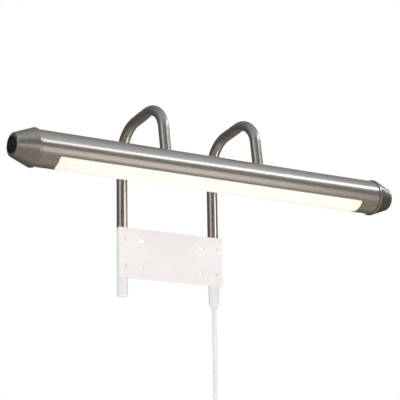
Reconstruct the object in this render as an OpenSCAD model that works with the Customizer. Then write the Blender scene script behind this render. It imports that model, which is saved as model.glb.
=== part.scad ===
// Picture light: a tubular LED head on two bent arms that hook over the top rail of a picture
// frame, with a mounting plate that is screwed to the back of that rail.
//
// Frame: the origin is the centre of the plate's front face. +X runs along the head with the
// switch at the -X end, -Y points out over the picture, +Z is up.

/* [Mounting plate] */
// Width of the plate
plate_w = 113; // [100:1:140]
// Height of the plate
plate_h = 46; // [42:1:60]
// Thickness of the plate
plate_t = 1.5; // [1.2:0.1:2]
// Distance between the two columns of mounting holes
hole_span = 65; // [40:1:70]
// Distance between the two rows of mounting holes
hole_rise = 24; // [20:1:28]
// Diameter of the lower, round mounting holes
hole_d = 3.8; // [3.5:0.1:5.5]
// Width of the upper, slotted mounting holes
slot_w = 3.8; // [3.5:0.1:5]
// End-to-end length of the upper mounting slots
slot_l = 7; // [6:0.5:10]

/* [Arms] */
// Distance between the two arm tubes
arm_span = 100; // [90:1:110]
// Outer diameter of the arm tubes
tube_d = 10; // [10:0.5:11]
// Bore of the bent arm tubes
arm_bore_d = 7; // [6.8:0.1:7.2]
// Bore of the straight lower tubes
socket_bore_d = 5.2; // [5:0.1:5.4]
// Depth of the flat that seats the plate on each lower tube
seat_depth = 1; // [0.5:0.1:1]
// Length of lower tube below the plate
tube_drop = 17; // [15:1:30]
// Height at which the rear bend starts
bend_z = 88; // [80:1:100]
// Centreline radius of the rear bend
rear_bend_r = 30; // [25:1:32]
// Centreline radius of the front bend
front_bend_r = 23.5; // [20:0.5:25]
// Rise of the straight run towards the front, in degrees
top_rise = 10; // [6:1:14]
// Forward lean of the front leg, in degrees
leg_lean = 8; // [5:1:10]

/* [Head] */
// Distance from the arm tubes' axes to the head's axis
reach = 77; // [70:1:90]
// Height of the head's axis above the plate's centre
head_z = 63; // [60:1:70]
// Outer diameter of the head tube
head_d = 32; // [32:0.5:34]
// Wall of the head tube
head_wall = 1.2; // [1:0.1:1.4]
// Length of the head over both end caps
head_l = 402; // [380:1:460]
// Distance of the head's middle from the plate's middle, negative towards the switch
head_x = -1; // [-3:0.5:3]
// Length of each cap outside the tube, rim and cone together
cap_l = 20.5; // [18:0.5:24]
// Diameter of the cap's rim
rim_d = 34; // [34:0.5:36]
// Diameter of the cap's small end
nose_d = 20; // [19:0.5:24]
// Length of the light window
window_l = 323.6; // [300:0.2:324]
// Width of the light window, measured straight across
window_w = 17.6; // [14:0.2:18]
// Angle of the light's direction from straight down towards the front, in degrees
light_lean = 26; // [20:0.5:30]
// Angle that the head tilts towards the wall, in degrees
tilt_travel = 60; // [30:5:60]

/* [Switch] */
// Diameter of the switch bezel
bezel_d = 15; // [14.4:0.2:16]
// Diameter of the rocker's rounded rim
rocker_d = 11.2; // [10.8:0.1:11.4]
// Travel of the rocker, in degrees
rocker_travel = 16; // [10:1:18]
// Angle of the raised end below the horizontal, in degrees
switch_clock = 15; // [0:5:30]

/* [Light source] */
// Number of LED chips
chip_count = 24; // [12:1:24]
// Distance between LED chips
chip_pitch = 12.5; // [8:0.5:12.5]
// Length of the LED board
board_l = 300; // [290:1:310]

/* [Cord] */
// Diameter of the mains lead
cord_d = 4.5; // [4:0.1:4.6]
// Mean radius of the wound coil
coil_r = 25; // [24:0.5:26]
// Number of layers in the coil, front to back
coil_layers = 4; // [4:1:4]

/* [Hidden] */
$fn = 64;
eps = 0.01;
over = 1;               // how far a cut runs past the face it opens

// Lower tubes and plate
arm_x = arm_span / 2;
tube_r = tube_d / 2;
tube_y = plate_t + tube_r - seat_depth;
plate_top = plate_h / 2;
tube_bottom = -plate_top - tube_drop;
hole_x = hole_span / 2;
hole_z = hole_rise / 2;
screw_head_r = 2.75;
screw_head_h = 1.25;
screw_r = 1.45;
screw_tip_y = plate_t + 1.2;
tap_gap = 0.05;         // radial gap between a screw and its hole
recess_w = 0.6;
recess_l = 3.2;
recess_depth = 0.7;

// Sleeves, plug and bushing in the lower tubes
sleeve_seat_r = arm_bore_d / 2;
sleeve_gap = 0.05;
sleeve_in_socket = 8;
sleeve_in_arm = 12;
flange_t = 1.2;
flange_chamfer = 0.7;
stem_l = 14;
nose_l = 4.8;
nose_top_r = 3.2;
nose_tip_r = 2.7;
cord_r = cord_d / 2;
cord_gap = 0.05;
cord_exit_z = tube_bottom - nose_l;

// Arm centreline in the plane x = constant, as [y, z]
head_y = tube_y - reach;
rear_c = [tube_y - rear_bend_r, bend_z];
rear_end = rear_c + rear_bend_r * [sin(top_rise), cos(top_rise)];
leg_normal = [cos(leg_lean), -sin(leg_lean)];
front_offset = rear_end - front_bend_r * [sin(top_rise), cos(top_rise)] - [head_y, head_z];
top_run = (front_offset * leg_normal - front_bend_r) / cos(top_rise - leg_lean);
top_end = rear_end + top_run * [-cos(top_rise), sin(top_rise)];
front_c = top_end - front_bend_r * [sin(top_rise), cos(top_rise)];
leg_start = front_c + front_bend_r * [-cos(leg_lean), sin(leg_lean)];
leg_start_r = norm(leg_start - [head_y, head_z]);
bend_thin = 0.02;
bend_lap = 0.4;

// Arm fixings inside the head, as distances from the head's axis along the leg
head_r = head_d / 2;
head_in_r = head_r - head_wall;
run_gap = 0.05;         // running clearance of the friction liners in the tube
liner_r = head_in_r - run_gap;
liner_t = 0.55;
liner_half = 81;        // reaches past the slot's ends at any tilt
saddle_r = liner_r - liner_t;
saddle_base = 11.2;
saddle_w = 20;
saddle_half_y = 8.5;
washer_t = 0.6;
washer_r = 7.8;
nut_t = 3;
nut_flats = 14;
nut_base = saddle_base - washer_t - nut_t;
leg_end_r = 7;
lead_end_r = 6.2;
slot_half_w = tube_r + 0.3;
slot_spare = 0.5;       // spare angle of the slot at each end of the tilt

// Core sleeve where the wires turn onto the head's axis
core_r = 1.5;
core_bend_r = 6;
core_end_x = 35;

// Head tube and caps, as distances from the middle of the head
cap_end = head_l / 2;
cap_face = cap_end - cap_l + 0.4;
tube_end = cap_end - cap_l;
rim_r = rim_d / 2;
rim_w = 1.8;
rim_break = 0.4;
nose_r = nose_d / 2;
nose_round = 1;
cap_wall = 2.5;
spigot_r = head_in_r - 0.05;
spigot_wall = 1.35;
spigot_in_r = spigot_r - spigot_wall;
spigot_l = 12;
spigot_x = tube_end - spigot_l;
cap_screw_x = tube_end - 6;
cap_screw_angle = 90;   // straight back
cap_screw_tip = 13.6;   // distance of the tip from the head's axis
window_x = -2;          // the window sits a little nearer to the switch
window_gap = 0.2;
window_low_r = 6;       // corner radius at the window's lower edge
window_high_r = 1.5;    // and at its upper edge
window_floor = 9;       // how far from the head's axis the window's cut ends
lens_t = 1.7;
lens_half = 60;
lip_t = 1.3;
lip_from = 33;
lip_to = 41;
lip_r = head_in_r - 0.1;
lip_l = window_l - 2;

// LED carrier, in the light's own frame: -Z is the light's direction
base_top = -4.5;
base_t = 1.5;
base_bottom = base_top - base_t;
carrier_half_y = 11.5;
flange_wall = 1.2;
flange_drop = 4.5;
carrier_l = 333;
tongue_half_y = 9;
tongue_x = 176;
shelf_t = 3;
shelf_half_y = 14;
shelf_bite = 0.2;
carrier_screw_x = 172;
carrier_screw_y = 6;
pan_head_r = 2.6;
pan_head_h = 1.8;
board_half_y = 5;
board_t = 1;
chip_size = [2.8, 3.5, 0.7];
wire_hole_r = 2;
wire_hole_x = -44.5;

// Driver and terminal block
driver_x = [-32, 24];
driver_half_y = 6.5;
driver_h = 10.5;
tab_l = 6;
tab_t = 1.5;
driver_break = 1;
block_x = [31, 38.5];
block_half_y = 6;
block_h = 8;
block_bore_r = core_r + 0.35;
block_screw_r = 1.5;

// Switch, as distances along its axis from the cap's end face, outwards positive
bezel_r = bezel_d / 2;
bezel_t = 1;
barrel_r = 6.8;
barrel_l = 12;
barrel_gap = 0.1;
well_r = 5.9;
well_depth = 9;
pivot_u = -1;
pivot_r = 0.8;
pivot_gap = 0.05;
rocker_r = rocker_d / 2;
rocker_corner = [5.6, 2.6];
rocker_dip = 1.2;
rocker_base = -3.6;
terminal_y = 3;
terminal_z = 0.5;
terminal_w = 2.8;
terminal_t = 0.8;
terminal_in_x = head_x - cap_end + barrel_l;
terminal_end_x = -183;

// Coil and plug
layer_pitch = 3.9;      // turns nest, so layers are closer than a cord diameter
coil_half_w = 1.5 * cord_d;
coil_half_y = (coil_layers - 1) * layer_pitch / 2 + cord_r;
coil_c = [arm_x, tube_y, -189];
coil_break = 1.5;
tie_t = 0.8;
tie_gap = 0.05;
tie_half = 9;
tie_angles = [130, 265];
plug_c = [76, 11, -228];
relief_l = 22;
relief_top_r = 3.1;
relief_end_r = 4.6;
plug_body_l = 24;
plug_half_w = 17.5;
plug_neck_w = 8;
plug_shoulder = 12;
plug_half_t = 7;
plug_break = 2;
pin_r = 2;
pin_l = 19;
pin_span = 19;

// Route of the lead from the bushing to the coil
drop_route = [
    [50, 5.5, -44.8], [50, 5.5, -56], [50, 5.5, -68], [50, 5.5, -80], [50, 5.5, -92],
    [50, 5.5, -104], [50, 5.5, -116], [50, 5.5, -128], [51.2, 4.9, -138], [54.6, 3.4, -146.6],
    [59.6, 1.7, -154.4], [65.7, 0.2, -162.1], [72.5, -0.4, -170]
];
// Route of the lead from the coil to the plug
tail_route = [
    [77.3, 11.4, -188], [77.4, 12, -198], [77.2, 12, -208], [76.6, 11.5, -218], [76, 11, -228]
];
// Routes of the head's inner wires, in the light's own frame
wire_r = 0.8;
feed_wire_route = [
    [31, -4, 2], [28.5, -7.5, 1], [24, -9.4, -1.5], [12, -9.6, -3.6], [-150, -9.6, -3.6],
    [-158, -8.5, -1.5], [-164, -6.5, 0.5], [-174, -4, 0.5], [-183, -3, 0.5]
];
return_wire_route = [
    [-32, -4.5, 1], [-36, -5.5, 0.5], [-42, -7.2, -2.5], [-50, -7.8, -3.6], [-150, -7.8, -3.6],
    [-158, -5.5, -0.5], [-164, -2, 2.5], [-174, 2, 1.5], [-183, 3, 0.5]
];
led_wire_r = 0.6;
led_wire_route = [[-32, 1, 1], [-36, 1, 1.5], [-41, 1, 0.5], [-44, 1, -2.5], [-44.5, 1, -6]];

// ---- Shared shapes ----

// Cylinder along X
module x_rod(r, x0, x1) {
    translate([x0, 0, 0])
        rotate([0, 90, 0])
            cylinder(r = r, h = x1 - x0);
}

// Box from its lowest to its highest corner
module span_box(low, high) {
    translate(low)
        cube(high - low);
}

// Sweep of a flat shape about the X axis. Angles run from +Z towards +Y; the shape's first
// coordinate is the radius and its second is the place along X.
module x_sweep(a0, a1) {
    rotate([0, 90, 0])
        rotate([0, 0, 180 - a1])
            rotate_extrude(angle = a1 - a0)
                children();
}

// Curved slab about the X axis
module ring_sector(r0, r1, a0, a1, w) {
    x_sweep(a0, a1)
        translate([r0, -w / 2])
            square([r1 - r0, w]);
}

// Places children on the head's axis, with +Z turned by an angle towards the wall
module head_frame(angle) {
    translate([0, head_y, head_z])
        rotate([-angle, 0, 0])
            children();
}

// The light's own frame: -Z is the direction the light shines in
module light_frame() {
    head_frame(light_lean)
        children();
}

// The frame of an arm's front leg: +Z runs up the leg
module leg_frame(x) {
    translate([x, 0, 0])
        head_frame(leg_lean)
            children();
}

// The same frame as head_frame, moved along to the head's own middle
module head_middle(angle) {
    translate([head_x, 0, 0])
        head_frame(angle)
            children();
}

// Places children at each of the two arms
module at_both_arms() {
    for (side = [-1, 1])
        translate([side * arm_x, 0, 0])
            children();
}

// Round bar that follows an arm's centreline from a height to a distance from the head's axis.
// The bends are a hair thinner than the straight lengths, which run a little way into them.
module arm_bar(r, from_z, to_r) {
    translate([0, tube_y, from_z])
        cylinder(r = r, h = bend_z - from_z + bend_lap);
    translate([0, rear_c.x, rear_c.y])
        x_sweep(top_rise, 90)
            translate([rear_bend_r, 0])
                circle(r = r - bend_thin);
    translate([0, rear_end.x, rear_end.y])
        rotate([90 - top_rise, 0, 0])
            translate([0, 0, -bend_lap])
                cylinder(r = r, h = top_run + 2 * bend_lap);
    translate([0, front_c.x, front_c.y])
        x_sweep(leg_lean - 90, top_rise)
            translate([front_bend_r, 0])
                circle(r = r - bend_thin);
    leg_frame(0)
        translate([0, 0, to_r])
            cylinder(r = r, h = leg_start_r - to_r + bend_lap);
}

// Direction of a route at one of its points
function heading(route, i) =
    let (a = route[max(i - 1, 0)], b = route[min(i + 1, len(route) - 1)])
    (b - a) / norm(b - a);

// Ring of points square to a route, turned by a fixed side direction
function ring(centre, dir, side, r, sides) =
    let (u = cross(dir, side) / norm(cross(dir, side)), v = cross(u, dir))
    [for (k = [0 : sides - 1]) centre + r * (cos(360 * k / sides) * u + sin(360 * k / sides) * v)];

// Tube swept along a route's points. side is a direction that the route never runs along.
module routed_tube(route, r, sides, side) {
    rings = len(route);
    points = [for (i = [0 : rings - 1]) each ring(route[i], heading(route, i), side, r, sides)];
    start_cap = [[for (k = [0 : sides - 1]) k]];
    end_cap = [[for (k = [sides - 1 : -1 : 0]) (rings - 1) * sides + k]];
    walls = [
        for (i = [0 : rings - 2], k = [0 : sides - 1])
            [i * sides + k, (i + 1) * sides + k,
             (i + 1) * sides + (k + 1) % sides, i * sides + (k + 1) % sides]
    ];
    polyhedron(points, concat(start_cap, walls, end_cap));
}

// ---- Mounting plate and lower tubes ----

// Cross-recessed countersunk screw, head at y = 0 and tip towards +Y
module plate_screw() {
    difference() {
        rotate([-90, 0, 0]) {
            cylinder(r1 = screw_head_r, r2 = screw_r, h = screw_head_h);
            cylinder(r = screw_r, h = screw_tip_y);
        }
        for (turn = [0, 90])
            rotate([0, turn, 0])
                span_box([-recess_l / 2, -over, -recess_w / 2],
                         [recess_l / 2, recess_depth, recess_w / 2]);
    }
}

module plate_screws() {
    color("whitesmoke")
        at_both_arms()
            for (row = [-1, 1])
                translate([0, 0, row * hole_z])
                    plate_screw();
}

// Hole for a plate screw, through the plate
module plate_screw_hole() {
    rotate([-90, 0, 0]) {
        cylinder(r1 = screw_head_r + tap_gap, r2 = screw_r + tap_gap, h = screw_head_h);
        translate([0, 0, -over])
            cylinder(r = screw_r + tap_gap, h = plate_t + 2 * over);
    }
}

module mounting_slot() {
    slot_end = (slot_l - slot_w) / 2;
    rotate([-90, 0, 0])
        translate([0, 0, -over]) {
            for (end = [-1, 1])
                translate([end * slot_end, 0, 0])
                    cylinder(d = slot_w, h = plate_t + 2 * over);
            translate([-slot_end, -slot_w / 2, 0])
                cube([2 * slot_end, slot_w, plate_t + 2 * over]);
        }
}

module mounting_plate() {
    color("white")
        difference() {
            span_box([-plate_w / 2, 0, -plate_top], [plate_w / 2, plate_t, plate_top]);
            for (side = [-1, 1]) {
                translate([side * hole_x, 0, hole_z])
                    mounting_slot();
                translate([side * hole_x, -over, -hole_z])
                    rotate([-90, 0, 0])
                        cylinder(d = hole_d, h = plate_t + 2 * over);
            }
            at_both_arms()
                for (row = [-1, 1])
                    translate([0, 0, row * hole_z])
                        plate_screw_hole();
        }
}

// Straight tube behind the plate, with a counterbore for the sleeve above and the plug below
module socket_tube() {
    color("white")
        difference() {
            translate([0, tube_y, tube_bottom + flange_t])
                cylinder(r = tube_r, h = plate_top - tube_bottom - flange_t);
            translate([0, tube_y, tube_bottom])
                cylinder(d = socket_bore_d, h = plate_top - tube_bottom + over);
            translate([0, tube_y, plate_top - sleeve_in_socket])
                cylinder(r = sleeve_seat_r, h = sleeve_in_socket + over);
            translate([0, tube_y, tube_bottom])
                cylinder(r = sleeve_seat_r, h = flange_t + stem_l);
            span_box([-tube_d, -tube_d, -plate_top], [tube_d, plate_t, plate_top + over]);
            for (row = [-1, 1])
                translate([0, 0, row * hole_z])
                    rotate([-90, 0, 0])
                        cylinder(r = screw_r + tap_gap, h = tube_y);
        }
}

module left_socket_tube() {
    translate([-arm_x, 0, 0])
        socket_tube();
}

module right_socket_tube() {
    translate([arm_x, 0, 0])
        socket_tube();
}

module joint_sleeves() {
    color("silver")
        at_both_arms()
            translate([0, tube_y, plate_top - sleeve_in_socket])
                difference() {
                    cylinder(r = sleeve_seat_r - sleeve_gap, h = sleeve_in_socket + sleeve_in_arm);
                    translate([0, 0, -over])
                        cylinder(d = socket_bore_d, h = sleeve_in_socket + sleeve_in_arm + 2 * over);
                }
}

// Flanged stem that closes the foot of a lower tube
module tube_foot() {
    cylinder(r1 = tube_r - flange_chamfer, r2 = tube_r, h = flange_chamfer);
    translate([0, 0, flange_chamfer])
        cylinder(r = tube_r, h = flange_t - flange_chamfer);
    cylinder(r = sleeve_seat_r - sleeve_gap, h = flange_t + stem_l);
}

module left_end_plug() {
    color("white")
        translate([-arm_x, tube_y, tube_bottom])
            tube_foot();
}

module cable_bushing() {
    color("white")
        translate([arm_x, tube_y, tube_bottom])
            difference() {
                union() {
                    tube_foot();
                    translate([0, 0, -nose_l])
                        cylinder(r1 = nose_tip_r, r2 = nose_top_r, h = nose_l);
                }
                translate([0, 0, -nose_l - over])
                    cylinder(r = cord_r + cord_gap, h = nose_l + flange_t + stem_l + 2 * over);
            }
}

// ---- Arms and their fixings in the head ----

module arm() {
    color("silver")
        difference() {
            arm_bar(tube_r, plate_top, leg_end_r);
            arm_bar(arm_bore_d / 2, plate_top - over, leg_end_r - over);
        }
}

module left_arm() {
    translate([-arm_x, 0, 0])
        arm();
}

module right_arm() {
    translate([arm_x, 0, 0])
        arm();
}

// The lead's run from the bushing, up through the right arm, to the mouth of its front leg
module arm_lead() {
    color("whitesmoke")
        translate([arm_x, 0, 0])
            arm_bar(cord_r, cord_exit_z, lead_end_r);
}

// Sleeved cores that turn onto the head's axis, so that the head can tilt round them
module core_sleeve() {
    color("ivory")
        leg_frame(arm_x) {
            translate([0, 0, core_bend_r])
                cylinder(r = core_r, h = lead_end_r - core_bend_r);
            translate([-core_bend_r, 0, core_bend_r])
                rotate([90, 0, 0])
                    rotate([0, 0, -90])
                        rotate_extrude(angle = 90)
                            translate([core_bend_r, 0])
                                circle(r = core_r);
            x_rod(core_r, core_end_x - arm_x, -core_bend_r);
        }
}

// Segment that clamps up under the head's wall, drilled for the leg
module saddle(x) {
    color("silver")
        leg_frame(x)
            difference() {
                intersection() {
                    x_rod(saddle_r, -saddle_w / 2, saddle_w / 2);
                    span_box([-saddle_w, -saddle_half_y, saddle_base],
                             [saddle_w, saddle_half_y, head_r]);
                }
                cylinder(r = tube_r + tap_gap, h = head_r);
            }
}

module left_saddle() {
    saddle(-arm_x);
}

module right_saddle() {
    saddle(arm_x);
}

// Thin nylon strip between a saddle and the head tube, long enough to keep the slot closed
module liner(x) {
    color("ivory")
        leg_frame(x)
            difference() {
                ring_sector(saddle_r, liner_r, -liner_half, liner_half, saddle_w);
                cylinder(r = tube_r + tap_gap, h = head_r);
            }
}

module left_liner() {
    liner(-arm_x);
}

module right_liner() {
    liner(arm_x);
}

module arm_nuts() {
    color("goldenrod")
        for (side = [-1, 1])
            leg_frame(side * arm_x)
                translate([0, 0, nut_base])
                    difference() {
                        cylinder(d = nut_flats / cos(30), h = nut_t, $fn = 6);
                        translate([0, 0, -over])
                            cylinder(r = tube_r + tap_gap, h = nut_t + 2 * over);
                    }
}

module lock_washers() {
    split = 1.2;
    color("silver")
        for (side = [-1, 1])
            leg_frame(side * arm_x)
                translate([0, 0, nut_base + nut_t])
                    difference() {
                        cylinder(r = washer_r, h = washer_t);
                        translate([0, 0, -over])
                            cylinder(r = tube_r + tap_gap, h = washer_t + 2 * over);
                        span_box([0, -split / 2, -over], [washer_r + over, split / 2, washer_t + over]);
                    }
}

// ---- Head ----

// Slot in which an arm's leg moves as the head tilts
module tilt_slot() {
    first = leg_lean - slot_spare;
    last = leg_lean + tilt_travel + slot_spare;
    for (angle = [first, last])
        rotate([-angle, 0, 0])
            cylinder(r = slot_half_w, h = head_d);
    ring_sector(head_in_r - over, head_r + over, first, last, 2 * (slot_half_w - tap_gap));
}

// Countersunk hole for the small screw that holds a cap
module cap_screw_hole() {
    rotate([-cap_screw_angle, 0, 0]) {
        translate([0, 0, head_r - screw_head_h])
            cylinder(r1 = screw_r + tap_gap, r2 = screw_head_r + tap_gap, h = screw_head_h);
        translate([0, 0, head_r])
            cylinder(r = screw_head_r + tap_gap, h = over);
        cylinder(r = screw_r + tap_gap, h = head_r);
    }
}

// Outline of the light window, with its lower edge at +Y. The gap shrinks it on every side.
module window_outline(gap) {
    half_l = window_l / 2 - gap;
    half_w = window_w / 2 - gap;
    translate([-half_l, window_high_r - half_w])
        square([2 * half_l, 2 * half_w - window_high_r - window_low_r]);
    translate([window_low_r - half_l, 0])
        square([2 * (half_l - window_low_r), half_w]);
    translate([window_high_r - half_l, -half_w])
        square([2 * (half_l - window_high_r), half_w]);
    for (side = [-1, 1]) {
        translate([side * (half_l - window_low_r), half_w - window_low_r])
            circle(r = window_low_r);
        translate([side * (half_l - window_high_r), window_high_r - half_w])
            circle(r = window_high_r);
    }
}

// The space of the light window, through the tube's wall, in the light's own frame
module window_space(gap) {
    translate([window_x, 0, -head_r - over])
        linear_extrude(head_r + over - window_floor)
            window_outline(gap);
}

module head_tube() {
    color("silver")
        head_frame(0)
            difference() {
                x_rod(head_r, head_x - tube_end, head_x + tube_end);
                x_rod(head_in_r, head_x - tube_end - over, head_x + tube_end + over);
                rotate([-light_lean, 0, 0])
                    window_space(0);
                at_both_arms()
                    tilt_slot();
                for (side = [-1, 1])
                    translate([head_x + side * cap_screw_x, 0, 0])
                        cap_screw_hole();
            }
}

// Revolved cap with its spigot, and the shelf that carries one end of the LED carrier
module end_cap(mouth_r) {
    shell = [
        [spigot_in_r, spigot_x], [spigot_r, spigot_x], [spigot_r, cap_face],
        [rim_r - rim_break, cap_face], [rim_r, cap_face + rim_break], [rim_r, cap_face + rim_w],
        [nose_r + 0.6 * nose_round, cap_end - nose_round], [nose_r, cap_end - 0.3 * nose_round],
        [nose_r - 0.8 * nose_round, cap_end], [mouth_r, cap_end], [mouth_r, cap_end - cap_wall],
        [nose_r - cap_wall, cap_end - cap_wall], [spigot_in_r, cap_face + rim_w]
    ];
    difference() {
        union() {
            rotate([0, 90, 0])
                rotate_extrude()
                    polygon(shell);
            intersection() {
                x_rod(spigot_in_r + shelf_bite, spigot_x, cap_face);
                rotate([-light_lean, 0, 0])
                    span_box([spigot_x, -shelf_half_y, base_top],
                             [cap_face, shelf_half_y, base_top + shelf_t]);
            }
        }
        rotate([-light_lean, 0, 0])
            for (side = [-1, 1])
                translate([carrier_screw_x, side * carrier_screw_y, base_top - over])
                    cylinder(r = screw_r + tap_gap, h = shelf_t + 2 * over);
        translate([cap_screw_x, 0, 0])
            rotate([-cap_screw_angle, 0, 0])
                cylinder(r = screw_r + tap_gap, h = head_r);
    }
}

module left_end_cap() {
    color("silver")
        head_middle(0)
            mirror([1, 0, 0])
                end_cap(barrel_r + barrel_gap);
}

module right_end_cap() {
    color("silver")
        head_middle(0)
            end_cap(0);
}

module cap_screws() {
    color("silver")
        head_middle(0)
            for (side = [-1, 1])
                translate([side * cap_screw_x, 0, 0])
                    rotate([-cap_screw_angle, 0, 0])
                        difference() {
                            union() {
                                translate([0, 0, head_r - screw_head_h])
                                    cylinder(r1 = screw_r, r2 = screw_head_r, h = screw_head_h);
                                translate([0, 0, cap_screw_tip])
                                    cylinder(r = screw_r, h = head_r - cap_screw_tip);
                            }
                            for (turn = [0, 90])
                                rotate([0, 0, turn])
                                    span_box([-recess_l / 2, -recess_w / 2, head_r - recess_depth],
                                             [recess_l / 2, recess_w / 2, head_r + over]);
                        }
}

// Opal cover, flush with the tube, with an inner lip along each long edge
module diffuser() {
    color("lightyellow")
        light_frame() {
            intersection() {
                translate([window_x, 0, 0])
                    ring_sector(head_r - lens_t, head_r, 180 - lens_half, 180 + lens_half,
                                window_l + 2 * over);
                window_space(window_gap);
            }
            for (from = [180 - lip_to, 180 + lip_from])
                translate([window_x, 0, 0])
                    ring_sector(lip_r - lip_t, lip_r, from, from + lip_to - lip_from, lip_l);
        }
}

// ---- Light source and electronics ----

module led_carrier() {
    flange_bottom = base_top - flange_drop;
    color("gainsboro")
        light_frame()
            difference() {
                translate([head_x, 0, 0]) {
                    span_box([-carrier_l / 2, -carrier_half_y, base_bottom],
                             [carrier_l / 2, carrier_half_y, base_top]);
                    span_box([-tongue_x, -tongue_half_y, base_bottom],
                             [tongue_x, tongue_half_y, base_top]);
                    for (side = [-1, 1])
                        translate([0, side * (carrier_half_y - flange_wall / 2), 0])
                            span_box([-carrier_l / 2, -flange_wall / 2, flange_bottom],
                                     [carrier_l / 2, flange_wall / 2, base_top]);
                }
                for (x = [-carrier_screw_x, carrier_screw_x], side = [-1, 1])
                    translate([head_x + x, side * carrier_screw_y, base_bottom - over])
                        cylinder(r = screw_r + tap_gap, h = base_t + 2 * over);
                for (x = [driver_x[0] - tab_l / 2, driver_x[1] + tab_l / 2])
                    translate([x, 0, base_bottom - over])
                        cylinder(r = screw_r + tap_gap, h = base_t + 2 * over);
                translate([wire_hole_x, 0, base_bottom - over])
                    cylinder(r = wire_hole_r, h = base_t + 2 * over);
            }
}

// Pan-head screw with its head at z = 0 and its tip towards +Z
module pan_screw(l) {
    difference() {
        union() {
            translate([0, 0, -pan_head_h])
                cylinder(r = pan_head_r, h = pan_head_h);
            cylinder(r = screw_r, h = l);
        }
        for (turn = [0, 90])
            rotate([0, 0, turn])
                span_box([-recess_l / 2, -recess_w / 2, -pan_head_h - over],
                         [recess_l / 2, recess_w / 2, recess_depth - pan_head_h]);
    }
}

module carrier_screws() {
    color("silver")
        head_middle(light_lean)
            for (x = [-carrier_screw_x, carrier_screw_x], side = [-1, 1])
                translate([x, side * carrier_screw_y, base_bottom])
                    pan_screw(base_t + shelf_t - 0.5);
}

module led_board() {
    color("white")
        head_middle(light_lean)
            span_box([-board_l / 2, -board_half_y, base_bottom - board_t],
                     [board_l / 2, board_half_y, base_bottom]);
}

module led_chips() {
    first = -(chip_count - 1) * chip_pitch / 2;
    color("khaki")
        head_middle(light_lean)
            for (i = [0 : chip_count - 1])
                translate([first + i * chip_pitch - chip_size.x / 2, -chip_size.y / 2,
                           base_bottom - board_t - chip_size.z])
                    cube(chip_size);
}

module led_driver() {
    color("whitesmoke")
        light_frame()
            difference() {
                union() {
                    span_box([driver_x[0], -driver_half_y, base_top],
                             [driver_x[1], driver_half_y, base_top + driver_h]);
                    span_box([driver_x[0] - tab_l, -driver_half_y, base_top],
                             [driver_x[1] + tab_l, driver_half_y, base_top + tab_t]);
                }
                for (x = [driver_x[0] - tab_l / 2, driver_x[1] + tab_l / 2])
                    translate([x, 0, base_top - over])
                        cylinder(r = screw_r + tap_gap, h = tab_t + 2 * over);
                for (side = [-1, 1])
                    translate([driver_x[0] - over, side * driver_half_y, base_top + driver_h])
                        rotate([45, 0, 0])
                            translate([0, -driver_break, -driver_break])
                                cube([driver_x[1] - driver_x[0] + 2 * over, 2 * driver_break,
                                      2 * driver_break]);
            }
}

module driver_screws() {
    color("silver")
        light_frame()
            for (x = [driver_x[0] - tab_l / 2, driver_x[1] + tab_l / 2])
                translate([x, 0, base_top + tab_t])
                    mirror([0, 0, 1])
                        pan_screw(tab_t + base_t - 0.1);
}

// Screw terminals where the cores meet the driver; the bore lies on the head's axis
module terminal_block() {
    color("beige")
        light_frame()
            difference() {
                span_box([block_x[0], -block_half_y, base_top],
                         [block_x[1], block_half_y, base_top + block_h]);
                x_rod(block_bore_r, core_end_x - over, block_x[1] + over);
                for (side = [-1, 1])
                    translate([(block_x[0] + block_x[1]) / 2 - over, side * block_half_y / 2,
                               base_top + block_h - block_screw_r])
                        cylinder(r = block_screw_r, h = block_screw_r + over);
            }
}

module led_wires() {
    color("crimson")
        light_frame()
            for (side = [-1, 1])
                routed_tube([for (p = led_wire_route) [p.x, side * p.y, p.z]], led_wire_r, 8,
                            [0, 1, 0]);
}

module switch_wires() {
    color("dimgray")
        light_frame() {
            routed_tube(feed_wire_route, wire_r, 8, [0, 0.2, 1]);
            routed_tube(return_wire_route, wire_r, 8, [0, 0.2, 1]);
        }
}

// ---- Switch ----

// The switch's own frame: origin at the middle of the cap's end face, +Z outwards,
// +Y towards the rocker's raised end
module switch_frame() {
    head_middle(0)
        rotate([-switch_clock, 0, 0])
            translate([-cap_end, 0, 0])
                rotate([0, -90, 0])
                    children();
}

module switch_housing() {
    color("black")
        switch_frame()
            difference() {
                union() {
                    translate([0, 0, -barrel_l])
                        cylinder(r = barrel_r, h = barrel_l);
                    cylinder(r1 = bezel_r, r2 = bezel_r - 0.4, h = bezel_t);
                }
                translate([0, 0, bezel_t - well_depth])
                    cylinder(r = well_r, h = well_depth + over);
                translate([-barrel_r - over, 0, pivot_u])
                    rotate([0, 90, 0])
                        cylinder(r = pivot_r + pivot_gap, h = 2 * (barrel_r + over));
            }
}

module switch_terminals() {
    color("silver")
        light_frame()
            for (side = [-1, 1])
                translate([0, side * terminal_y, terminal_z])
                    span_box([terminal_in_x, -terminal_t / 2, -terminal_w / 2],
                             [terminal_end_x, terminal_t / 2, terminal_w / 2]);
}

// Ball-sided rocker with a V-shaped face, raised at its +Y end, on two short pivots
module switch_rocker() {
    face = [
        [-rocker_corner.x, rocker_corner.y], [0, rocker_dip], [rocker_corner.x, rocker_corner.y],
        [rocker_corner.x, rocker_base], [-rocker_corner.x, rocker_base]
    ];
    color("black")
        switch_frame()
            translate([0, 0, pivot_u])
                rotate([rocker_travel / 2, 0, 0]) {
                    intersection() {
                        sphere(r = rocker_r);
                        rotate([90, 0, 90])
                            translate([0, 0, -rocker_r])
                                linear_extrude(2 * rocker_r)
                                    polygon(face);
                    }
                    rotate([0, 90, 0])
                        translate([0, 0, -barrel_r + 0.3])
                            cylinder(r = pivot_r, h = 2 * (barrel_r - 0.3));
                }
}

// ---- Cord, coil and plug ----

module cord_drop() {
    color("whitesmoke")
        routed_tube(drop_route, cord_r, 10, [0, 1, 0]);
}

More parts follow.
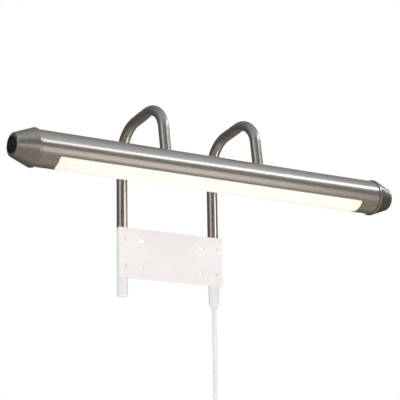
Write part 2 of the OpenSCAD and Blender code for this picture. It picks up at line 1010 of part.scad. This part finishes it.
// Outline of the wound bundle: radius, then place front to back
function bundle(grow) =
    let (r0 = coil_r - coil_half_w - grow, r1 = coil_r + coil_half_w + grow, h = coil_half_y + grow,
         b = coil_break)
    [[r0 + b, -h], [r1 - b, -h], [r1, b - h], [r1, h - b], [r1 - b, h], [r0 + b, h], [r0, h - b],
     [r0, b - h]];

// Places children round the coil's axis, which runs along Y
module coil_frame() {
    translate(coil_c)
        rotate([90, 0, 0])
            children();
}

module cord_coil() {
    color("whitesmoke")
        coil_frame()
            rotate_extrude()
                polygon(bundle(0));
}

module cord_ties() {
    color("white")
        coil_frame()
            for (angle = tie_angles)
                rotate([0, 0, angle - tie_half])
                    rotate_extrude(angle = 2 * tie_half)
                        difference() {
                            polygon(bundle(tie_t + tie_gap));
                            polygon(bundle(tie_gap));
                        }
}

module cord_tail() {
    color("whitesmoke")
        routed_tube(tail_route, cord_r, 10, [0, 1, 0]);
}

// Flat two-pin plug that hangs from the cord, with its tapered strain relief
module plug_body() {
    outline = [
        [plug_neck_w, 0], [plug_half_w, -plug_shoulder], [plug_half_w, plug_break - plug_body_l],
        [plug_half_w - plug_break, -plug_body_l], [plug_break - plug_half_w, -plug_body_l],
        [-plug_half_w, plug_break - plug_body_l], [-plug_half_w, -plug_shoulder],
        [-plug_neck_w, 0]
    ];
    side = [
        [plug_half_t - plug_break, 0], [plug_half_t, -plug_break],
        [plug_half_t, plug_break - plug_body_l], [plug_half_t - plug_break, -plug_body_l],
        [plug_break - plug_half_t, -plug_body_l], [-plug_half_t, plug_break - plug_body_l],
        [-plug_half_t, -plug_break], [plug_break - plug_half_t, 0]
    ];
    color("white")
        translate(plug_c - [0, 0, relief_l]) {
            cylinder(r1 = relief_end_r, r2 = relief_top_r, h = relief_l);
            intersection() {
                rotate([90, 0, 0])
                    translate([0, 0, -plug_half_t])
                        linear_extrude(2 * plug_half_t)
                            polygon(outline);
                rotate([90, 0, 90])
                    translate([0, 0, -plug_half_w])
                        linear_extrude(2 * plug_half_w)
                            polygon(side);
            }
        }
}

module plug_pins() {
    color("silver")
        translate(plug_c - [0, 0, relief_l + plug_body_l])
            for (side = [-1, 1])
                translate([side * pin_span / 2, 0, 0]) {
                    translate([0, 0, pin_r - pin_l])
                        cylinder(r = pin_r, h = pin_l - pin_r);
                    translate([0, 0, pin_r - pin_l])
                        sphere(r = pin_r);
                }
}

mounting_plate();
plate_screws();
left_socket_tube();
right_socket_tube();
joint_sleeves();
left_end_plug();
cable_bushing();
left_arm();
right_arm();
arm_lead();
core_sleeve();
left_saddle();
right_saddle();
left_liner();
right_liner();
arm_nuts();
lock_washers();
head_tube();
left_end_cap();
right_end_cap();
cap_screws();
diffuser();
led_carrier();
carrier_screws();
led_board();
led_chips();
led_driver();
driver_screws();
terminal_block();
led_wires();
switch_wires();
switch_housing();
switch_terminals();
switch_rocker();
cord_drop();
cord_coil();
cord_ties();
cord_tail();
plug_body();
plug_pins();
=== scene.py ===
import math

import bmesh
import bpy
from mathutils import Matrix, Vector


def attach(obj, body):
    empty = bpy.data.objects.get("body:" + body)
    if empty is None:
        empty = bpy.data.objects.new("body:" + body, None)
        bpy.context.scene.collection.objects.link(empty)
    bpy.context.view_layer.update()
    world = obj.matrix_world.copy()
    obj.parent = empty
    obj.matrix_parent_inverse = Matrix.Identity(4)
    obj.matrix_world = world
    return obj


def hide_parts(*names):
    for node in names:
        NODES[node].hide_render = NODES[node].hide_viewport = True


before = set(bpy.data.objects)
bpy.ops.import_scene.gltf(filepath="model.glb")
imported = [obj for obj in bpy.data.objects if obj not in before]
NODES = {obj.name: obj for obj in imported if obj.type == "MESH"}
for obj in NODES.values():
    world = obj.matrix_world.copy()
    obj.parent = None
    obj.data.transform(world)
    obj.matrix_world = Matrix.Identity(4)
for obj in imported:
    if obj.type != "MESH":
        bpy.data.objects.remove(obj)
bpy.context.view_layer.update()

MM = 0.001
HEAD_AXIS = Vector((0, -71.5, 63)) * MM
WINDOW_X = -2 * MM
WINDOW_HALF = 161.8 * MM
CORD_D = 4.5 * MM

CAMERA_PLACE = Vector((-0.756, -1.1602, -0.2692))
CAMERA_ANGLES = (-34.2, -13.13, -0.98)      # yaw, downward pitch and roll, in degrees
CAMERA_LENS = 137.65                        # mm, on a 36 mm sensor


# ---------------------------------------------------------------- camera

def make_camera():
    yaw, pitch, roll = (math.radians(a) for a in CAMERA_ANGLES)
    forward = Vector((-math.sin(yaw) * math.cos(pitch), math.cos(yaw) * math.cos(pitch),
                      -math.sin(pitch)))
    flat = Vector((math.cos(yaw), math.sin(yaw), 0))
    rise = flat.cross(forward)
    right = math.cos(roll) * flat + math.sin(roll) * rise
    up = -math.sin(roll) * flat + math.cos(roll) * rise
    data = bpy.data.cameras.new("camera")
    data.sensor_width = 36
    data.lens = CAMERA_LENS
    data.clip_start = 0.05
    data.clip_end = 50
    cam = bpy.data.objects.new("camera", data)
    bpy.context.scene.collection.objects.link(cam)
    turn = Matrix((right, up, -forward)).transposed()
    cam.matrix_world = Matrix.Translation(CAMERA_PLACE) @ turn.to_4x4()
    bpy.context.scene.camera = cam


make_camera()


# ---------------------------------------------------------------- the lead

DROP_ROUTE = [
    (50, 5.5, -44.8), (50, 5.5, -56), (50, 5.5, -68), (50, 5.5, -80), (50, 5.5, -92),
    (50, 5.5, -104), (50, 5.5, -116), (50, 5.5, -128), (51.2, 4.9, -138), (54.6, 3.4, -146.6),
    (59.6, 1.7, -154.4), (65.7, 0.2, -162.1),
]
TAIL_ROUTE = [
    (77.3, 11.4, -188), (77.4, 12, -198), (77.2, 12, -208), (76.6, 11.5, -218), (76, 11, -228),
]
COIL_CENTRE = Vector((50, 5.5, -189))
# Each layer's place along Y from the coil's middle, and the radii of its turns in winding order
COIL_LAYERS = [
    (-5.85, (29.5, 25, 20.5)), (-1.95, (22.75, 27.25)),
    (1.95, (29.5, 25, 20.5)), (5.85, (22.75, 27.25)),
]
COIL_ENTRY = math.radians(40)               # where the first turn starts, up from +X
TURN_STEPS = 18
CROSSING = 0.35                             # share of a turn spent stepping to the next one


def smooth(t):
    t = min(max(t, 0), 1)
    return t * t * (3 - 2 * t)


def coil_points():
    """The wound turns, clockwise seen from the front, from the drop to the tail."""
    turns = [(y, r) for y, radii in COIL_LAYERS for r in radii]
    total = len(turns) * 2 * math.pi + COIL_ENTRY
    steps = round(TURN_STEPS * total / (2 * math.pi))
    points = []
    for i in range(steps + 1):
        a = total * i / steps
        turn = min(int(a / (2 * math.pi)), len(turns) - 1)
        part = a / (2 * math.pi) - turn
        y, r = turns[turn]
        if turn + 1 < len(turns):
            t = smooth((part - 1 + CROSSING) / CROSSING)
            y += (turns[turn + 1][0] - y) * t
            r += (turns[turn + 1][1] - r) * t
        angle = COIL_ENTRY - a
        points.append(COIL_CENTRE + Vector((r * math.cos(angle), y, r * math.sin(angle))))
    return points


def lead_points():
    coil = coil_points()
    points = [Vector(p) for p in DROP_ROUTE] + coil[:-1] + [Vector(p) for p in TAIL_ROUTE]
    return [p * MM for p in points]


def evaluated_mesh(obj):
    bpy.context.view_layer.update()
    graph = bpy.context.evaluated_depsgraph_get()
    return bpy.data.meshes.new_from_object(obj.evaluated_get(graph))


def make_lead():
    """The lead as a mesh tube, and the centreline it was swept along."""
    curve = bpy.data.curves.new("lead_line", "CURVE")
    curve.dimensions = "3D"
    curve.bevel_resolution = 6
    curve.resolution_u = 4
    curve.use_fill_caps = True
    points = lead_points()
    spline = curve.splines.new("BEZIER")
    spline.bezier_points.add(len(points) - 1)
    for point, place in zip(spline.bezier_points, points):
        point.co = place
        point.handle_left_type = point.handle_right_type = "AUTO"
    line = bpy.data.objects.new("lead_line", curve)
    bpy.context.scene.collection.objects.link(line)
    path = [v.co.copy() for v in evaluated_mesh(line).vertices]
    curve.bevel_depth = CORD_D / 2
    mesh = evaluated_mesh(line)
    bpy.data.objects.remove(line)
    mesh.shade_smooth()
    lead = bpy.data.objects.new("mains_lead", mesh)
    bpy.context.scene.collection.objects.link(lead)
    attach(lead, "bracket")
    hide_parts("cord_drop", "cord_coil", "cord_tail")
    return lead, path


LEAD, LEAD_PATH = make_lead()


# ---------------------------------------------------------------- detailed pieces

def rounded(points, steps=5):
    """Corner points as (a, b) or (a, b, radius); corners with a radius become arcs."""
    out = []
    count = len(points)
    for i, p in enumerate(points):
        here = Vector(p[:2])
        if len(p) < 3:
            out.append(here)
            continue
        to_last = (Vector(points[i - 1][:2]) - here).normalized()
        to_next = (Vector(points[(i + 1) % count][:2]) - here).normalized()
        half = math.acos(max(-1, min(1, to_last.dot(to_next)))) / 2
        reach = p[2] / math.tan(half)
        centre = here + (to_last + to_next).normalized() * (p[2] / math.sin(half))
        first = here + to_last * reach - centre
        last = here + to_next * reach - centre
        sweep = first.angle_signed(last)
        for k in range(steps + 1):
            turn = Matrix.Rotation(-sweep * k / steps, 2)
            out.append(centre + turn @ first)
    return out


def finish_piece(b, name, body, nodes):
    bmesh.ops.remove_doubles(b, verts=b.verts, dist=1e-7)
    bmesh.ops.recalc_face_normals(b, faces=b.faces)
    mesh = bpy.data.meshes.new(name)
    b.to_mesh(mesh)
    b.free()
    mesh.shade_smooth()
    obj = bpy.data.objects.new(name, mesh)
    bpy.context.scene.collection.objects.link(obj)
    obj.modifiers.new("normals", "WEIGHTED_NORMAL").weight = 80
    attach(obj, body)
    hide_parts(*nodes)
    return obj


def add_lathe(b, profile, place, steps=72):
    """Turns a closed profile of (radius, height) round +Z, then moves it by a matrix in mm."""
    rings = []
    for k in range(steps):
        a = 2 * math.pi * k / steps
        rings.append([b.verts.new((place @ Vector((r * math.cos(a), r * math.sin(a), z))) * MM)
                      for r, z in profile])
    for k in range(steps):
        one, two = rings[k], rings[(k + 1) % steps]
        for i in range(len(profile)):
            j = (i + 1) % len(profile)
            b.faces.new((one[i], one[j], two[j], two[i]))


def add_loft(b, sections, place, steps=72, power=4.5):
    """Skins rounded-rectangle sections of (height, half width, half depth), closed at both ends."""
    rings = []
    for z, w, d in sections:
        ring = []
        for k in range(steps):
            a = 2 * math.pi * k / steps
            c, t = math.cos(a), math.sin(a)
            x = math.copysign(abs(c) ** (2 / power), c) * w
            y = math.copysign(abs(t) ** (2 / power), t) * d
            ring.append(b.verts.new((place @ Vector((x, y, z))) * MM))
        rings.append(ring)
    for one, two in zip(rings, rings[1:]):
        for k in range(steps):
            m = (k + 1) % steps
            b.faces.new((one[k], one[m], two[m], two[k]))
    b.faces.new(rings[0])
    b.faces.new(list(reversed(rings[-1])))


def ribbed_taper(top, bottom, ribs, groove):
    """Outline of a taper from (radius, height) top to bottom, with round-edged rings cut in it."""
    points = []
    for i in range(ribs):
        for share, cut in ((0.0, 0), (0.55, 0), (0.63, groove), (0.92, groove)):
            t = (i + share) / ribs
            points.append((top[0] + (bottom[0] - top[0]) * t - cut,
                           top[1] + (bottom[1] - top[1]) * t, 0.12))
    return points


BUSHING_PLACE = (50, 5.5, -40)
PLUG_PLACE = (76, 11, -250)
# The plug's body from its top down to its pin face: height, half width, half depth
PLUG_SECTIONS = [
    (0.1, 4.4, 4.2), (0, 5.6, 4.7), (-0.4, 6.6, 5.1), (-1.5, 8.2, 5.6), (-4, 10.8, 6.2),
    (-8, 14.4, 6.7), (-11, 16.6, 6.95), (-13.5, 17.5, 7), (-17, 17.5, 7), (-21, 17.5, 7),
    (-22.3, 17.35, 6.85), (-23.2, 16.9, 6.4), (-23.8, 16.2, 5.7), (-24, 15.2, 4.8),
]
STRAP_ANGLES = (130, 265)                   # round the coil, up from +X
STRAP_RADII = (17.8, 32.2)                  # how near to the coil's middle and how far from it
STRAP_HALF_DEPTH = 8.55
STRAP_CORNER = 2.9
STRAP_WIDTH = (-4, 4)
STRAP_HALF_THICKNESS = 0.4
STRAP_EDGE = 0.3


def make_bushing():
    """White bushing in the foot of the right-hand tube, with its short ribbed strain relief."""
    outline = [(2.3, -4.8), (2.7, -4.8, 0.2)]
    outline += [(r, z, f) for r, z, f in reversed(ribbed_taper((3.1, -0.5), (2.75, -4.5), 3, 0.32))]
    outline += [(3.2, 0, 0.2), (4.3, 0, 0.3), (5, 0.7, 0.3), (5, 1.2), (3.4, 1.2), (3.4, 15.2),
                (2.3, 15.2)]
    b = bmesh.new()
    add_lathe(b, rounded(outline), Matrix.Translation(BUSHING_PLACE))
    return finish_piece(b, "cable_bushing_moulded", "bracket", ["cable_bushing"])


def make_plug():
    """Flat two-pin plug with softly rounded edges, and its ribbed strain relief above."""
    b = bmesh.new()
    place = Matrix.Translation(PLUG_PLACE)
    add_loft(b, PLUG_SECTIONS, place)
    outline = [(2.3, 22), (3.1, 22, 0.3)] + ribbed_taper((3.12, 21.2), (4.6, 1.2), 7, 0.6)
    outline += [(4.6, 0.8, 0.15), (4.9, 0, 0.2), (4.6, -1.2), (2.3, -1.2)]
    add_lathe(b, rounded(outline), place)
    return finish_piece(b, "plug_moulded", "bracket", ["plug_body"])


def box_corners(span, half, radius):
    """Corners of a box from span[0] to span[1] and from -half to half, each with a radius."""
    near, far = span
    return [(near, -half, radius), (far, -half, radius), (far, half, radius), (near, half, radius)]


def make_ties():
    """Two soft straps round the bundle, each a closed loop with rounded edges."""
    b = bmesh.new()
    loop = rounded(box_corners(STRAP_RADII, STRAP_HALF_DEPTH, STRAP_CORNER), 8)
    band = rounded(box_corners(STRAP_WIDTH, STRAP_HALF_THICKNESS, STRAP_EDGE), 3)
    for angle in STRAP_ANGLES:
        a = math.radians(angle)
        out = Vector((math.cos(a), 0, math.sin(a)))
        across = Vector((-math.sin(a), 0, math.cos(a)))
        rings = []
        for i, p in enumerate(loop):
            along = (loop[(i + 1) % len(loop)] - loop[i - 1]).normalized()
            normal = Vector((along.y, -along.x))
            ring = []
            for w, t in band:
                q = p + normal * t
                point = COIL_CENTRE + out * q.x + Vector((0, q.y, 0)) + across * w
                ring.append(b.verts.new(point * MM))
            rings.append(ring)
        for i in range(len(rings)):
            one, two = rings[i], rings[(i + 1) % len(rings)]
            for k in range(len(band)):
                m = (k + 1) % len(band)
                b.faces.new((one[k], one[m], two[m], two[k]))
    return finish_piece(b, "cord_straps", "bracket", ["cord_ties"])


BUSHING = make_bushing()
PLUG = make_plug()
TIES = make_ties()


# ---------------------------------------------------------------- materials

NOISE_ROUGHNESS = 0.6
WEAR_SCALE = 60         # noise cells per metre, for the uneven polish of metal
MOTTLE_SCALE = 45       # the same for the colour of plastic and paint
WEAR_SHARE = 0.4        # how much of a metal's gloss follows the wear and not the brush lines


def new_material(name):
    m = bpy.data.materials.new(name)
    m.use_nodes = True
    tree = m.node_tree
    return m, tree, tree.nodes["Principled BSDF"]


def add(tree, kind, **inputs):
    node = tree.nodes.new(kind)
    for key, value in inputs.items():
        if key in node.inputs:
            node.inputs[key].default_value = value
        else:
            setattr(node, key, value)
    return node


def object_noise(tree, stretch, scale, detail=4):
    """Noise on the object's own coordinates, stretched by a factor on each axis."""
    coords = tree.nodes.new("ShaderNodeTexCoord")
    mapping = add(tree, "ShaderNodeMapping", Scale=stretch)
    noise = add(tree, "ShaderNodeTexNoise", Scale=scale, Detail=detail, Roughness=NOISE_ROUGHNESS)
    tree.links.new(coords.outputs["Object"], mapping.inputs["Vector"])
    tree.links.new(mapping.outputs["Vector"], noise.inputs["Vector"])
    return noise.outputs["Fac"]


def turned_noise(tree, scale):
    """Noise in fine rings round the head's axis, as turning on a lathe leaves them."""
    coords = tree.nodes.new("ShaderNodeTexCoord")
    centred = add(tree, "ShaderNodeMapping", Location=-HEAD_AXIS)
    along = tree.nodes.new("ShaderNodeSeparateXYZ")
    across = add(tree, "ShaderNodeVectorMath", operation="MULTIPLY")
    across.inputs[1].default_value = (0, 1, 1)
    radius = add(tree, "ShaderNodeVectorMath", operation="LENGTH")
    pair = tree.nodes.new("ShaderNodeCombineXYZ")
    noise = add(tree, "ShaderNodeTexNoise", Scale=scale, Detail=4, Roughness=NOISE_ROUGHNESS)
    tree.links.new(coords.outputs["Object"], centred.inputs["Vector"])
    tree.links.new(centred.outputs["Vector"], along.inputs[0])
    tree.links.new(centred.outputs["Vector"], across.inputs[0])
    tree.links.new(across.outputs[0], radius.inputs[0])
    tree.links.new(along.outputs["X"], pair.inputs["X"])
    tree.links.new(radius.outputs["Value"], pair.inputs["Y"])
    tree.links.new(pair.outputs[0], noise.inputs["Vector"])
    return noise.outputs["Fac"]


def ramp(tree, source, stops):
    node = tree.nodes.new("ShaderNodeValToRGB")
    band = node.color_ramp
    while len(band.elements) < len(stops):
        band.elements.new(0.5)
    for element, (place, colour) in zip(band.elements, stops):
        element.position = place
        element.color = (*colour, 1)
    tree.links.new(source, node.inputs["Fac"])
    return node.outputs["Color"]


def grey(v):
    return (v, v, v)


def bump(tree, shader, source, strength, distance):
    node = add(tree, "ShaderNodeBump", Strength=strength, Distance=distance)
    tree.links.new(source, node.inputs["Height"])
    tree.links.new(node.outputs["Normal"], shader.inputs["Normal"])


def metal(name, dark, light, rough, stretch, scale, strength=0.12, distance=0.00002, along=0.0):
    """Metal whose colour, gloss and surface follow one set of brush lines, or of turned rings."""
    m, tree, shader = new_material(name)
    lines = object_noise(tree, stretch, scale) if stretch else turned_noise(tree, scale)
    wear = object_noise(tree, (1, 1, 1), WEAR_SCALE, detail=5)
    tree.links.new(ramp(tree, lines, [(0.35, dark), (0.65, light)]), shader.inputs["Base Color"])
    mix = add(tree, "ShaderNodeMix", data_type="RGBA")
    mix.inputs[0].default_value = WEAR_SHARE
    low, high = rough
    tree.links.new(ramp(tree, lines, [(0.3, grey(low)), (0.7, grey(high))]), mix.inputs[6])
    tree.links.new(ramp(tree, wear, [(0.35, grey(low)), (0.7, grey(high))]), mix.inputs[7])
    tree.links.new(mix.outputs[2], shader.inputs["Roughness"])
    shader.inputs["Metallic"].default_value = 1
    shader.inputs["Anisotropic"].default_value = along
    shader.inputs["Anisotropic Rotation"].default_value = 0.25
    bump(tree, shader, lines, strength, distance)
    return m


def plastic(name, dark, light, rough, scale, strength=0.15, distance=0.00003, coat=0.0,
            sheen=0.5):
    """Moulded or coated surface with a fine orange-peel grain and slight mottling."""
    m, tree, shader = new_material(name)
    grain = object_noise(tree, (1, 1, 1), scale, detail=3)
    mottle = object_noise(tree, (1, 1, 1), MOTTLE_SCALE)
    tree.links.new(ramp(tree, mottle, [(0.3, dark), (0.7, light)]), shader.inputs["Base Color"])
    low, high = rough
    tree.links.new(ramp(tree, grain, [(0.35, grey(low)), (0.65, grey(high))]),
                   shader.inputs["Roughness"])
    shader.inputs["Coat Weight"].default_value = coat
    shader.inputs["Coat Roughness"].default_value = 0.08
    shader.inputs["Specular IOR Level"].default_value = sheen
    bump(tree, shader, grain, strength, distance)
    return m


# Colour of the diffuser's light from its middle, 0, to its ends, 1
GLOW_ALONG = [
    (0.0, (1, 0.97, 0.87)), (0.8, (1, 0.965, 0.85)), (0.93, (1, 0.955, 0.75)),
    (1.0, (1, 0.9, 0.58)),
]


def opal():
    """Lit opal cover: even warm white, warmer towards its two ends."""
    m, tree, shader = new_material("opal_cover")
    grain = object_noise(tree, (1, 1, 1), 900, detail=2)
    mottle = object_noise(tree, (1, 1, 1), 20, detail=3)
    tree.links.new(ramp(tree, mottle, [(0.3, (0.40, 0.40, 0.39)), (0.7, (0.44, 0.44, 0.43))]),
                   shader.inputs["Base Color"])
    tree.links.new(ramp(tree, grain, [(0.3, grey(0.42)), (0.7, grey(0.5))]),
                   shader.inputs["Roughness"])
    coords = tree.nodes.new("ShaderNodeTexCoord")
    axes = tree.nodes.new("ShaderNodeSeparateXYZ")
    off = add(tree, "ShaderNodeMath", operation="SUBTRACT")
    off.inputs[1].default_value = WINDOW_X
    away = add(tree, "ShaderNodeMath", operation="ABSOLUTE")
    share = add(tree, "ShaderNodeMath", operation="MULTIPLY")
    share.inputs[1].default_value = 1 / WINDOW_HALF
    tree.links.new(coords.outputs["Object"], axes.inputs[0])
    tree.links.new(axes.outputs["X"], off.inputs[0])
    tree.links.new(off.outputs[0], away.inputs[0])
    tree.links.new(away.outputs[0], share.inputs[0])
    tree.links.new(ramp(tree, share.outputs[0], GLOW_ALONG), shader.inputs["Emission Color"])
    shader.inputs["Emission Strength"].default_value = 0.52
    bump(tree, shader, grain, 0.05, 0.00001)
    return m


def led_phosphor():
    m, tree, shader = new_material("led_phosphor")
    grain = object_noise(tree, (1, 1, 1), 2500, detail=2)
    colour = ramp(tree, grain, [(0.3, (0.9, 0.72, 0.16)), (0.7, (0.98, 0.84, 0.3))])
    tree.links.new(colour, shader.inputs["Base Color"])
    tree.links.new(ramp(tree, grain, [(0.3, grey(0.3)), (0.7, grey(0.45))]),
                   shader.inputs["Roughness"])
    shader.inputs["Emission Color"].default_value = (1, 0.93, 0.7, 1)
    shader.inputs["Emission Strength"].default_value = 1.5
    return m


SATIN = ((0.53, 0.50, 0.465), (0.65, 0.615, 0.575))
MATERIALS = {
    "head_metal": metal("satin_nickel_head", *SATIN, (0.2, 0.28), (1.5, 60, 60), 60),
    "arm_metal": metal("satin_nickel_arms", *SATIN, (0.2, 0.27), (30, 30, 6), 60, 0.04, 0.00001,
                       along=0.75),
    "cap_metal": metal("satin_nickel_caps", *SATIN, (0.22, 0.3), None, 3500, 0.08, 0.00001),
    "steel": metal("zinc_steel", (0.5, 0.5, 0.5), (0.64, 0.64, 0.63), (0.28, 0.42), (1, 1, 1), 900),
    "brass": metal("brass", (0.62, 0.45, 0.19), (0.76, 0.58, 0.28), (0.25, 0.38), (1, 1, 1), 700),
    "pin": metal("plated_pin", (0.62, 0.61, 0.59), (0.72, 0.71, 0.69), (0.14, 0.24), (30, 30, 2),
                 200),
    "aluminium": metal("aluminium", (0.66, 0.67, 0.68), (0.76, 0.77, 0.78), (0.3, 0.45),
                       (1, 50, 50), 80),
    "white_coat": plastic("white_coat", (0.83, 0.785, 0.775), (0.87, 0.825, 0.815), (0.38, 0.5),
                          1400),
    "white_gloss": plastic("white_gloss", (0.83, 0.81, 0.795), (0.86, 0.84, 0.825), (0.16, 0.24),
                           1400, 0.06, 0.00001, coat=1.0),
    "white_plastic": plastic("white_plastic", (0.78, 0.78, 0.76), (0.84, 0.84, 0.82), (0.35, 0.48),
                             1800),
    "nylon": plastic("nylon", (0.70, 0.67, 0.58), (0.78, 0.75, 0.66), (0.4, 0.55), 1200),
    "black": plastic("black_plastic", (0.004, 0.004, 0.004), (0.009, 0.009, 0.01), (0.3, 0.42),
                     1500, sheen=0.3),
    "board": plastic("white_board", (0.72, 0.74, 0.71), (0.82, 0.83, 0.8), (0.3, 0.45), 1600),
    "sheath": plastic("pvc_sheath", (0.80, 0.80, 0.79), (0.83, 0.83, 0.82), (0.34, 0.42), 1500),
    "strap": plastic("strap_fabric", (0.70, 0.70, 0.69), (0.80, 0.80, 0.79), (0.6, 0.8), 2600,
                     0.5, 0.0001),
    "wire": plastic("wire_insulation", (0.05, 0.05, 0.06), (0.1, 0.1, 0.11), (0.3, 0.45), 1500),
    "opal": opal(),
    "phosphor": led_phosphor(),
}
NODE_MATERIALS = {
    "head_metal": ["head_tube"],
    "cap_metal": ["left_end_cap", "right_end_cap"],
    "arm_metal": ["left_arm", "right_arm"],
    "steel": ["cap_screws", "carrier_screws", "driver_screws", "joint_sleeves", "lock_washers",
              "left_saddle", "right_saddle"],
    "brass": ["arm_nuts", "switch_terminals"],
    "pin": ["plug_pins"],
    "aluminium": ["led_carrier"],
    "white_coat": ["mounting_plate", "plate_screws"],
    "white_gloss": ["left_socket_tube", "right_socket_tube"],
    "white_plastic": ["left_end_plug", "cable_bushing", "core_sleeve", "led_driver"],
    "nylon": ["left_liner", "right_liner", "terminal_block"],
    "black": ["switch_housing", "switch_rocker"],
    "board": ["led_board"],
    "sheath": ["arm_lead", "cord_ties", "plug_body"],
    "wire": ["led_wires", "switch_wires"],
    "opal": ["diffuser"],
    "phosphor": ["led_chips"],
}


def dress(obj, key):
    obj.data.materials.clear()
    obj.data.materials.append(MATERIALS[key])


for key, names in NODE_MATERIALS.items():
    for name in names:
        dress(NODES[name], key)
for piece, key in ((LEAD, "sheath"), (BUSHING, "white_plastic"), (PLUG, "sheath"), (TIES, "strap")):
    dress(piece, key)


# ---------------------------------------------------------------- studio

FLOOR_RADIUS = 40
FLOOR_HEIGHT = -1.25
OVERHEAD_STRENGTH = 2.5
OVERHEAD_SPREAD = math.radians(50)


def make_floor():
    mesh = bpy.data.meshes.new("floor")
    b = bmesh.new()
    bmesh.ops.create_circle(b, cap_ends=True, segments=96, radius=FLOOR_RADIUS)
    b.to_mesh(mesh)
    b.free()
    floor = bpy.data.objects.new("floor", mesh)
    floor.location = (0, 0, FLOOR_HEIGHT)
    bpy.context.scene.collection.objects.link(floor)
    floor.data.materials.append(plastic("floor", grey(0.82), grey(0.86), (0.7, 0.85), 40))
    floor.visible_glossy = False


def panel(name, place, size, radiance, glossy=True, colour=(1, 1, 1), aim=(0, -0.05, 0.05)):
    """Soft box aimed at a place. A box that isn't glossy lights only dull surfaces."""
    data = bpy.data.lights.new(name, "AREA")
    data.shape = "RECTANGLE"
    data.size, data.size_y = size
    data.energy = radiance * math.pi * size[0] * size[1]
    data.color = colour
    lamp = bpy.data.objects.new(name, data)
    lamp.location = place
    look = Vector(aim) - Vector(place)
    lamp.rotation_mode = "QUATERNION"
    lamp.rotation_quaternion = look.to_track_quat("-Z", "Y")
    lamp.visible_glossy = glossy
    lamp.visible_camera = False
    bpy.context.scene.collection.objects.link(lamp)
    return lamp


def overhead():
    """Even light from straight above, for the floor and the dull faces that look up."""
    data = bpy.data.lights.new("overhead", "SUN")
    data.energy = OVERHEAD_STRENGTH
    data.angle = OVERHEAD_SPREAD
    lamp = bpy.data.objects.new("overhead", data)
    lamp.location = (0, 0, 3)
    lamp.visible_glossy = False
    bpy.context.scene.collection.objects.link(lamp)


# The room round the object's long axis: degrees from straight up towards the wall, brightness,
# warmth
ROOM = [
    (-180, 0.35, 0.12), (-153, 0.33, 0.12), (-136, 0.34, 0.12), (-122, 0.37, 0.1),
    (-106, 0.34, 0.08), (-84, 0.21, 0.05), (-62, 0.26, 0.03), (-50, 0.42, 0), (-34, 0.67, -0.04),
    (-15, 0.57, -0.04), (15, 0.38, -0.04), (40, 0.28, -0.02), (65, 0.16, 0), (102, 0.12, 0.05),
    (136, 0.18, 0.1), (160, 0.31, 0.12), (180, 0.35, 0.12),
]
# How much of that brightness is left towards each end of the axis, -1 to 1
ROOM_ALONG = [
    (-1, 0.85), (-0.4, 0.8), (0.1, 0.72), (0.45, 0.92), (0.55, 1.12), (0.61, 1.15), (0.66, 0.7),
    (0.85, 0.45), (1, 0.3),
]


def make_world():
    world = bpy.data.worlds.new("studio")
    world.use_nodes = True
    tree = world.node_tree
    tree.nodes.clear()
    out = tree.nodes.new("ShaderNodeOutputWorld")
    mix = tree.nodes.new("ShaderNodeMixShader")
    path = tree.nodes.new("ShaderNodeLightPath")
    coords = tree.nodes.new("ShaderNodeTexCoord")
    axes = tree.nodes.new("ShaderNodeSeparateXYZ")
    angle = add(tree, "ShaderNodeMath", operation="ARCTAN2")
    share = add(tree, "ShaderNodeMath", operation="MULTIPLY_ADD")
    share.inputs[1].default_value = 1 / (2 * math.pi)
    share.inputs[2].default_value = 0.5
    room = add(tree, "ShaderNodeBackground")
    white = add(tree, "ShaderNodeBackground", Color=(1, 1, 1, 1))
    tree.links.new(coords.outputs["Generated"], axes.inputs[0])
    tree.links.new(axes.outputs["Y"], angle.inputs[0])
    tree.links.new(axes.outputs["Z"], angle.inputs[1])
    tree.links.new(angle.outputs[0], share.inputs[0])
    stops = [(a / 360 + 0.5, (v * (1 + w), v, v * (1 - w))) for a, v, w in ROOM]
    tree.links.new(ramp(tree, share.outputs[0], stops), room.inputs["Color"])
    along = add(tree, "ShaderNodeMath", operation="MULTIPLY_ADD")
    along.inputs[1].default_value = along.inputs[2].default_value = 0.5
    tree.links.new(axes.outputs["X"], along.inputs[0])
    stops = [(x / 2 + 0.5, grey(v)) for x, v in ROOM_ALONG]
    tree.links.new(ramp(tree, along.outputs[0], stops), room.inputs["Strength"])
    tree.links.new(path.outputs["Is Camera Ray"], mix.inputs["Fac"])
    tree.links.new(room.outputs[0], mix.inputs[1])
    tree.links.new(white.outputs[0], mix.inputs[2])
    tree.links.new(mix.outputs[0], out.inputs["Surface"])
    bpy.context.scene.world = world


make_floor()
make_world()
panel("key_strip", (1.65, -1.25, 1.58), (2.6, 0.36), 2.5, colour=(0.98, 1, 1.04))
panel("right_strip", (2.3, -0.1, 1.45), (1.2, 0.34), 3.1)
panel("front_box", (1.15, -2.03, -0.32), (0.8, 1.1), 0.68, colour=(1.04, 1, 0.94))
panel("left_box", (-2.1, -0.75, 0.35), (0.8, 1.4), 0.85, colour=(1.04, 1, 0.96))
panel("cap_box", (-0.55, -2.0, -0.12), (0.6, 0.8), 0.42, colour=(1.02, 1, 0.98),
      aim=(-0.19, -0.07, 0.06))
panel("back_box", (1.25, 1.85, 0.55), (1.1, 1.3), 1.6)
panel("fill_front", (0.1, -2.4, 0.35), (2.4, 1.8), 1.4, glossy=False)
for name, x in (("left_glow", -0.05), ("right_glow", 0.05)):
    glow = panel(name, (x + 0.03, -0.045, 0.04), (0.03, 0.08), 1.7, colour=(1.06, 1, 0.88),
                 aim=(x, 0.0055, 0.04))
    glow.visible_diffuse = False
overhead()
panel("fill_left", (-2.3, 0.5, 0.1), (2.2, 1.8), 0.7, glossy=False)
panel("fill_back", (-0.5, 2.4, 0.6), (2.4, 1.8), 1.0, glossy=False)
bpy.context.scene.view_settings.view_transform = "Standard"

bpy.context.view_layer.update()
